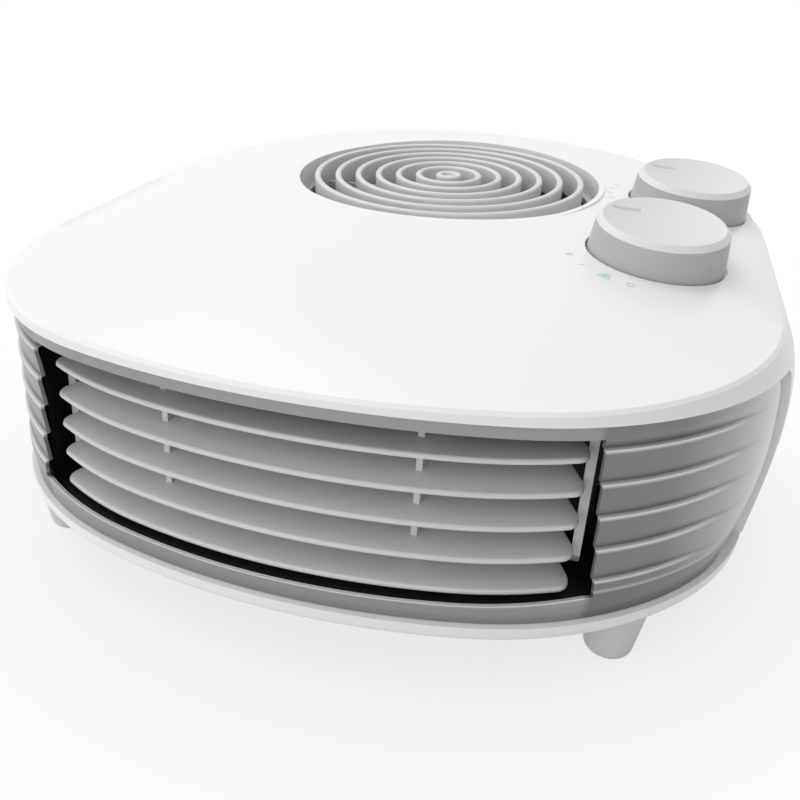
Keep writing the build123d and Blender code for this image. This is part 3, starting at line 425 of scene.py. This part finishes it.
def flute_share(from_end, z):
    """Share of the full flute depth, which fades out before the field's rounded end."""
    upwards = z - band_bottom - border_bottom
    pull = 0.0
    if upwards < border_corner:
        pull = border_corner - sqrt(max(0.0, border_corner**2 - (border_corner - upwards) ** 2))
    inside = from_end - border_end - pull
    return soft_step((inside - flute_fade_start) / (flute_fade_end - flute_fade_start))


def face_sink(from_end, z, fluted):
    """How far the face lies inside the plain barrel, by its flutes and its border."""
    out = max(0.0, -field_distance(from_end, z))
    lean_run = out**2 / (2 * border_blend) if out < border_blend else out - border_blend / 2
    border = border_lean * lean_run
    if not fluted:
        return border
    return border + flute_depth * flute_share(from_end, z) * flute_shape(z)


def face_painted_light(from_end, z, fluted):
    """Painted light on the band: painted shade by the opening and on the border, painted highlights at the
    field's round end and on the ledges.
    """
    if not fluted:
        return strip_painted_light if z < opening_bottom else rail_painted_light
    distance = field_distance(from_end, z)
    if distance < 0:
        return max(border_painted_shade, border_edge_painted_light + distance / border_blend)
    to_ledge = min(abs(z - ledge) for ledge in flute_ledges)
    ledge_highlight = max(0.0, 1 - to_ledge / ledge_highlight_reach) * flute_share(from_end, z)
    end_highlight = max(0.0, 1 - from_end / end_highlight_reach) ** end_highlight_curve
    return max(field_painted_shade, end_highlight, ledge_highlight)


def even_rows(low, high, count):
    """Even heights after a low one, up to and with a high one."""
    return [low + (high - low) * step / count for step in range(1, count + 1)]


def band_rows():
    """Heights of the mesh rows: even on the border, and set to the ledges on the flutes."""
    rows = [band_bottom]
    rows += even_rows(band_bottom, corner_bottom - opening_bevel, strip_rows)
    rows.append(corner_bottom)
    rows += even_rows(corner_bottom, flute_ledges[0], flute_rows)[:-1]
    for ledge in flute_ledges[:-1]:
        rows += [ledge, ledge + flute_ledge_height]
        rows += even_rows(ledge + flute_ledge_height, ledge + flute_rise, flute_rows)
    rows += [flute_ledges[-1] + height for height in top_flute_rows]
    rows += [corner_top, opening_top]
    rows += even_rows(opening_top, band_top, rail_rows)
    return rows


def strip_height(level, share):
    """Height of a row's point over or under the opening, whose edges are bowed."""
    if level <= corner_bottom:
        row_share = (level - band_bottom) / (corner_bottom - band_bottom)
        strip_top = opening_bottom + opening_bottom_rise * share**2
        return band_bottom + row_share * (strip_top - band_bottom)
    row_share = (band_top - level) / (band_top - corner_top)
    rail_bottom = opening_top - opening_top_dip * share**2
    return band_top - row_share * (band_top - rail_bottom)


def band_spot(step, level, edge, end):
    """Wall angle, height and distance from the band's end, some columns away from the middle."""
    if step < middle_columns:
        share = step / middle_columns
        return edge * share, strip_height(level, share), band_arc
    share = (step - middle_columns) / side_columns
    return edge + (end - edge) * share, level, (end - edge) * (1 - share) * band_arc


def band_points(rows):
    """Points of the band, their painted light and shade, and their numbers by column and row, outside and
    inside.
    """
    points, painted_lights, outer, inner = [], [], {}, {}
    for row, level in enumerate(rows):
        edge = edge_angle(level)
        end = end_angle(level)
        for column in range(-columns, columns + 1):
            fluted = abs(column) >= middle_columns
            if not fluted and corner_bottom < level < corner_top:
                continue
            angle, z, from_end = band_spot(abs(column), level, edge, end)
            # The row on the opening's bevel gets full painted light: a painted highlight along the strip's
            # top edge.
            bevelled = level == corner_bottom and not fluted
            sink = face_sink(from_end, z, fluted) + (opening_bevel if bevelled else 0.0)
            painted_light = 1.0 if bevelled else face_painted_light(from_end, z, fluted)
            side = 1 if column > 0 else -1
            for shell, wall in ((outer, 0.0), (inner, band_wall)):
                x, y = wall_point(angle, z, band_setback + sink + wall)
                shell[column, row] = len(points)
                points.append((side * x / mm_per_metre, y / mm_per_metre, z / mm_per_metre))
                painted_lights.append(painted_light)
    return points, painted_lights, outer, inner


def band_faces(rows, outer, inner):
    """Faces of the band's closed shell, with its opening left free."""
    faces = []
    for column in range(-columns, columns):
        for row in range(len(rows) - 1):
            ring = [(column, row), (column + 1, row), (column + 1, row + 1), (column, row + 1)]
            row_middle = (rows[row] + rows[row + 1]) / 2
            beside_opening = corner_bottom < row_middle < corner_top
            if beside_opening and abs(column + 0.5) < middle_columns:
                continue
            faces.append([outer[key] for key in ring])
            faces.append([inner[key] for key in reversed(ring)])
    behind = {outer[key]: inner[key] for key in outer}
    sides = {(a, b) for face in faces for a, b in zip(face, face[1:] + face[:1]) if a in behind}
    for a, b in sorted(sides):
        if (b, a) not in sides:
            faces.append([b, a, behind[a], behind[b]])
    return faces


def build_band():
    """The band, with its painted light and shade kept on the mesh for the paint."""
    rows = band_rows()
    points, painted_lights, outer, inner = band_points(rows)
    band = mesh_object("front_band", points, band_faces(rows, outer, inner), bezel_silver)
    painted_light = band.data.attributes.new("painted_light", "FLOAT", "POINT")
    painted_light.data.foreach_set("value", painted_lights)
    return band


front_band = build_band()
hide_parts("front_bezel")
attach(front_band, "housing")
front_band.modifiers.new("smooth", "NODES").node_group = smooth_by_angle


# Outlet louvre again, with round noses, rounded slat ends and ribs set well back

slat_setback = 5.0
slat_half_span = 75.5
slat_count = 5
slat_start = 26.6
slat_pitch = 9.15
slat_heights = [slat_start + slat_pitch * index for index in range(slat_count)]
slat_front = 1.7
slat_back = 1.3
slat_depth = 18.0
slat_lift = 2.5
slat_end_round = 6.0
slat_columns = 96
nose_steps = 9
# Ribs: how far from the middle, and how thick
rib_places = ((34.5, 1.6), (74.0, 2.4))
rib_setback = 7.0
rib_corner = 5.0
rib_top = 72.4


def slat_section():
    """Section of a slat: depth behind its front line and height, round at the nose."""
    nose = slat_front / 2
    turns = [radians(-90 - 180 * step / nose_steps) for step in range(nose_steps + 1)]
    points = [(nose + nose * cos(turn), nose + nose * sin(turn)) for turn in turns]
    points.append((slat_depth / 2, slat_lift / 2 + slat_front))
    points.append((slat_depth, slat_lift + slat_front))
    points.append((slat_depth, slat_lift + slat_front - slat_back))
    return points


def louvre_angle(x, inset):
    """Wall angle of the louvre's front line at x."""
    return angle_where(lambda angle: plan_point(angle, 0.0, inset)[0] > x)


def add_slat(points, faces, bottom):
    """Adds one bowed slat, with its columns closer together towards the ends."""
    section = slat_section()
    start = len(points)
    reach = louvre_angle(slat_half_span, slat_setback)
    for column in range(slat_columns + 1):
        share = sin(pi * (column / slat_columns - 0.5))
        angle = reach * abs(share)
        to_end = max(0.0, slat_end_round - (1 - abs(share)) * slat_half_span)
        cut_back = slat_end_round - sqrt(max(0.0, slat_end_round**2 - to_end**2))
        side = 1 if share > 0 else -1
        for depth, height in section:
            depth = cut_back + depth * (slat_depth - cut_back) / slat_depth
            x, y = plan_point(angle, 0.0, slat_setback + depth)
            z = bottom + height
            points.append((side * x / mm_per_metre, y / mm_per_metre, z / mm_per_metre))
    count = len(section)
    for column in range(slat_columns):
        here = start + column * count
        for index in range(count):
            after = (index + 1) % count
            faces.append([here + index, here + count + index, here + count + after, here + after])
    last = start + slat_columns * count
    faces.append([start + index for index in range(count)])
    faces.append([last + index for index in reversed(range(count))])


def add_rib(points, faces, x, wall):
    """Adds an upright rib behind the slats' noses, with its lower front corner cut off."""
    front = plan_point(louvre_angle(abs(x), slat_setback), 0.0, slat_setback)[1] + rib_setback
    back = front - rib_setback + slat_depth
    low = slat_heights[0] + slat_front
    outline = [
        (front + rib_corner, low),
        (back, low),
        (back, rib_top),
        (front, rib_top),
        (front, low + rib_corner),
    ]
    start = len(points)
    for offset in (-wall / 2, wall / 2):
        for y, z in outline:
            points.append(((x + offset) / mm_per_metre, y / mm_per_metre, z / mm_per_metre))
    count = len(outline)
    faces.append([start + index for index in reversed(range(count))])
    faces.append([start + count + index for index in range(count)])
    for index in range(count):
        after = (index + 1) % count
        faces.append([start + index, start + after, start + count + after, start + count + index])


def build_louvre():
    """All slats and ribs as one moulding."""
    points, faces = [], []
    for bottom in slat_heights:
        add_slat(points, faces, bottom)
    for place, wall in rib_places:
        add_rib(points, faces, place, wall)
        add_rib(points, faces, -place, wall)
    return mesh_object("louvre", points, faces, louvre_grey)


louvre = build_louvre()
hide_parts("outlet_louvre")
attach(louvre, "housing")
louvre.modifiers.new("smooth", "NODES").node_group = smooth_by_angle


# Knobs again, with a deep dish, a crisp bevelled rim and a soft pointer groove

knob_base_radius = 21.9
knob_top_radius = 20.6
knob_bevel = 1.7
knob_bottom = -1.0
knob_top = 11.9
dish_radius = knob_top_radius - knob_bevel
dish_depth = 3.1
dish_rings = 60
knob_steps = 300
pointer_reach = 14.0
pointer_bearing = radians(143)
pointer_turn = radians(21)
pointer_half_length = 4.3
pointer_half_width = 0.5
pointer_edge = 0.4
pointer_depth = 0.6


def pointer_sink(x, y):
    """Depth of the pointer groove at a point of the dish."""
    groove = Vector((cos(pointer_bearing), sin(pointer_bearing))) * pointer_reach
    along = Vector((cos(pointer_turn), sin(pointer_turn)))
    offset = Vector((x, y)) - groove
    run = min(max(offset.dot(along), -pointer_half_length), pointer_half_length)
    away = (offset - along * run).length
    return pointer_depth * soft_step((pointer_half_width + pointer_edge - away) / pointer_edge)


def knob_profile():
    """Radius and height of the rings of a knob: its base, its bevel, its rim and then the dish."""
    profile = [
        (knob_base_radius, knob_bottom),
        (knob_top_radius, knob_top - knob_bevel),
        (dish_radius, knob_top),
    ]
    for ring in range(1, dish_rings):
        radius = dish_radius * (1 - ring / dish_rings)
        profile.append((radius, knob_top - dish_depth * (1 - (radius / dish_radius) ** 2)))
    return profile


def build_knob(name, joint):
    """A knob as rings of points round its joint's axis, with painted shade on its side: a darker grey than
    its face.
    """
    axis = Vector(joint["axis"]).normalized()
    across = (Vector((1, 0, 0)) - axis * axis.x).normalized()
    aside = axis.cross(across)
    profile = knob_profile()
    points, faces = [], []
    for radius, height in profile:
        in_dish = radius < dish_radius
        for step in range(knob_steps):
            angle = 2 * pi * step / knob_steps
            x, y = radius * cos(angle), radius * sin(angle)
            z = height - (pointer_sink(x, y) if in_dish else 0.0)
            points.append(Vector(joint["pos_m"]) + (across * x + aside * y + axis * z) / mm_per_metre)
    for ring in range(len(profile) - 1):
        for step in range(knob_steps):
            here = ring * knob_steps + step
            beside = ring * knob_steps + (step + 1) % knob_steps
            faces.append([here, beside, beside + knob_steps, here + knob_steps])
    last = (len(profile) - 1) * knob_steps
    faces.append([last + step for step in range(knob_steps)])
    faces.append(list(reversed(range(knob_steps))))
    made = mesh_object(name, points, faces, knob_face)
    # The side faces take the darker grey: painted shade.
    made.data.materials.append(knob_grey)
    for side_face in made.data.polygons[:knob_steps]:
        side_face.material_index = 1
    return made


for knob_name, joint_name, body in (
    ("power_knob", "power_turn", "power_control"),
    ("thermostat_knob", "thermostat_turn", "thermostat_control"),
):
    knob = build_knob(knob_name + "_dished", joints[joint_name])
    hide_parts(knob_name)
    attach(knob, body)
    knob.modifiers.new("smooth", "NODES").node_group = smooth_by_angle


# Printed marks round the knobs: generic signs, laid on the cover in thin strokes.
# Sizes are in metres, and bearings in degrees.

mark_radius = 0.0295
stroke_width = 0.00036
print_lift = 0.00006
ray_start = 0.02

off_bearing = 12
off_width = 0.0021
off_height = 0.0024
fan_bearing = 28
blade_count = 3
blade_reach = 0.00116
blade_width = 0.00136
blade_length = 0.00224
low_bearing = 46
high_bearing = 62
bar_reach = 0.0012
twin_offset = 0.00055
warmth_count = 6
warmth_start = 46
warmth_step = 13
warmth_reach = 0.0008
warmth_growth = 0.00014

cover = nodes["top_cover"]
cover_points = [cover.matrix_world @ vertex.co for vertex in cover.data.vertices]
cover_tree = BVHTree.FromPolygons(cover_points, [list(face.vertices) for face in cover.data.polygons])


def stroke(points, closed=False):
    """Quads along a line of flat points, one stroke wide."""
    count = len(points)
    rails = []
    for index, point in enumerate(points):
        before = points[index - 1] if closed or index > 0 else point
        after = points[(index + 1) % count] if closed or index < count - 1 else point
        along = (after - before).normalized()
        across = Vector((-along.y, along.x)) * stroke_width / 2
        rails.append((point - across, point + across))
    quads = []
    for index in range(count if closed else count - 1):
        here, there = rails[index], rails[(index + 1) % count]
        quads.append((here[0], there[0], there[1], here[1]))
    return quads


def oval(width, height, middle=(0, 0), turn=0.0, steps=28):
    """Closed stroke round an oval."""
    points = []
    for step in range(steps):
        angle = 2 * pi * step / steps
        point = Vector((width / 2 * cos(angle), height / 2 * sin(angle)))
        point.rotate(Matrix.Rotation(turn, 2))
        points.append(point + Vector(middle))
    return stroke(points, closed=True)


def bar(x, reach, steps=6):
    """Upright stroke at x, as far up as down."""
    return stroke([Vector((x, -reach + 2 * reach * step / steps)) for step in range(steps + 1)])


def fan_sign():
    """Oval blades round a middle."""
    quads = []
    for blade in range(blade_count):
        turn = 2 * pi * blade / blade_count
        middle = Vector((0, blade_reach))
        middle.rotate(Matrix.Rotation(turn, 2))
        quads += oval(blade_width, blade_length, middle, turn, steps=18)
    return quads


def lay_mark(name, joint, bearing, quads):
    """Puts a sign on the cover beside a knob, its top towards the knob, at degrees left of forward."""
    middle = Vector(joint["pos_m"])
    axis = Vector(joint["axis"]).normalized()
    front = Vector((0, -1, 0))
    forward = (front - axis * axis.dot(front)).normalized()
    left = forward.cross(axis)
    outwards = forward * cos(radians(bearing)) + left * sin(radians(bearing))
    sideways = axis.cross(outwards)
    points, faces = [], []
    for quad in quads:
        faces.append([len(points) + corner for corner in range(len(quad))])
        for corner in quad:
            flat = outwards * (mark_radius - corner.y) + sideways * corner.x
            hit, normal, _, _ = cover_tree.ray_cast(middle + flat + axis * ray_start, -axis)
            points.append(hit + normal * print_lift)
    made = mesh_object(name, points, faces, teal_print)
    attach(made, "housing")


power = joints["power_turn"]
thermostat = joints["thermostat_turn"]
lay_mark("mark_off", power, off_bearing, oval(off_width, off_height))
lay_mark("mark_fan", power, fan_bearing, fan_sign())
lay_mark("mark_low", power, low_bearing, bar(0, bar_reach))
lay_mark("mark_high", power, high_bearing, bar(-twin_offset, bar_reach) + bar(twin_offset, bar_reach))
for index in range(warmth_count):
    tick = bar(0, warmth_reach + warmth_growth * index)
    lay_mark(f"mark_warmth_{index}", thermostat, warmth_start + warmth_step * index, tick)


# Stage: floor, light and camera. In metres.

floor_half = 6.0
floor_grey = 0.70
# The floor's share of plain white, near the object and further out
near_white = 0.74
near_reach = 0.11
far_white = 1.0
far_reach = 0.22

bright_side = Vector((-0.6, 0.0, 0.75))
bright_light = 0.95
dim_light = 0.15

lamp_target = Vector((0, 0, 0.08))
key_place = Vector((-0.7, 0.3, 1.6))
key_size = 1.5
key_power = 9.0
fill_place = Vector((-0.5, -1.3, 0.4))
fill_size = 0.9
fill_power = 4.5

# Camera fitted to the photograph
camera_place = Vector((0.0724, -0.2758, 0.1469))
camera_yaw = radians(15.07)
camera_pitch = radians(23.36)
camera_roll = radians(3.84)
camera_lens = 35.28
sensor_width = 36.0
nearest_view = 0.01


def calculate(tree, operation, first, second):
    """Result of a math operation on two values."""
    node = tree.nodes.new("ShaderNodeMath")
    node.operation = operation
    tree.links.new(first, node.inputs[0])
    tree.links.new(second, node.inputs[1])
    return node.outputs["Value"]


def white_to_viewer(tree):
    """One where a camera, mirror or glass ray arrives, and zero for the light that the scene sheds."""
    path = tree.nodes.new("ShaderNodeLightPath").outputs
    mirrored = calculate(tree, "MAXIMUM", path["Is Camera Ray"], path["Is Glossy Ray"])
    return calculate(tree, "MAXIMUM", mirrored, path["Is Transmission Ray"])


def white_floor():
    """A pale floor that keeps the shadow under the object and turns to plain white further out."""
    material, shader = new_material("white_floor")
    tree = material.node_tree
    shader.inputs["Base Color"].default_value = (floor_grey, floor_grey, floor_grey, 1)
    shader.inputs["Roughness"].default_value = 0.9
    shader.inputs["Specular IOR Level"].default_value = 0.0
    glow = tree.nodes.new("ShaderNodeEmission")
    place = tree.nodes.new("ShaderNodeNewGeometry")
    reach = tree.nodes.new("ShaderNodeVectorMath")
    reach.operation = "LENGTH"
    tree.links.new(place.outputs["Position"], reach.inputs[0])
    whiten = spread(tree, reach.outputs["Value"], near_white, far_white)
    whiten.node.interpolation_type = "SMOOTHSTEP"
    whiten.node.inputs["From Min"].default_value = near_reach
    whiten.node.inputs["From Max"].default_value = far_reach
    share = calculate(tree, "MULTIPLY", whiten, white_to_viewer(tree))
    mix = tree.nodes.new("ShaderNodeMixShader")
    tree.links.new(share, mix.inputs["Fac"])
    tree.links.new(shader.outputs["BSDF"], mix.inputs[1])
    tree.links.new(glow.outputs["Emission"], mix.inputs[2])
    tree.links.new(mix.outputs["Shader"], tree.nodes["Material Output"].inputs["Surface"])
    return material


def studio_world():
    """A white room to look at, which sheds most of its light from the upper left."""
    world = bpy.data.worlds.new("studio")
    world.use_nodes = True
    tree = world.node_tree
    direction = tree.nodes.new("ShaderNodeTexCoord")
    side = tree.nodes.new("ShaderNodeVectorMath")
    side.operation = "DOT_PRODUCT"
    side.inputs[1].default_value = bright_side.normalized()
    tree.links.new(direction.outputs["Generated"], side.inputs[0])
    shed = spread(tree, side.outputs["Value"], dim_light, bright_light)
    shed.node.inputs["From Min"].default_value = -1.0
    seen = tree.nodes.new("ShaderNodeMix")
    tree.links.new(white_to_viewer(tree), seen.inputs["Factor"])
    tree.links.new(shed, seen.inputs["A"])
    seen.inputs["B"].default_value = 1.0
    backdrop = tree.nodes["Background"]
    backdrop.inputs["Color"].default_value = (1, 1, 1, 1)
    tree.links.new(seen.outputs["Result"], backdrop.inputs["Strength"])
    return world


def softbox(name, place, size, power):
    """A square lamp aimed at the object."""
    lamp = bpy.data.lights.new(name, "AREA")
    lamp.size = size
    lamp.energy = power
    made = bpy.data.objects.new(name, lamp)
    made.location = place
    made.rotation_mode = "QUATERNION"
    made.rotation_quaternion = (lamp_target - place).to_track_quat("-Z", "Y")
    scene.collection.objects.link(made)


def fitted_camera():
    """The camera, turned by its yaw and pitch and then rolled about its own view."""
    forward_share = cos(camera_pitch)
    back = Vector((sin(camera_yaw) * forward_share, -cos(camera_yaw) * forward_share, sin(camera_pitch)))
    level = Vector((cos(camera_yaw), sin(camera_yaw), 0))
    upright = back.cross(level)
    right = cos(camera_roll) * level + sin(camera_roll) * upright
    up = -sin(camera_roll) * level + cos(camera_roll) * upright
    camera = bpy.data.objects.new("camera", bpy.data.cameras.new("camera"))
    camera.data.sensor_width = sensor_width
    camera.data.lens = camera_lens
    camera.data.clip_start = nearest_view
    camera.matrix_world = Matrix((right, up, back)).transposed().to_4x4()
    camera.location = camera_place
    scene.collection.objects.link(camera)
    return camera


floor_points = [
    (-floor_half, -floor_half, 0),
    (floor_half, -floor_half, 0),
    (floor_half, floor_half, 0),
    (-floor_half, floor_half, 0),
]
mesh_object("floor", floor_points, [(0, 1, 2, 3)], white_floor())
scene.world = studio_world()
softbox("key", key_place, key_size, key_power)
softbox("fill", fill_place, fill_size, fill_power)
scene.camera = fitted_camera()
scene.view_settings.view_transform = "Standard"
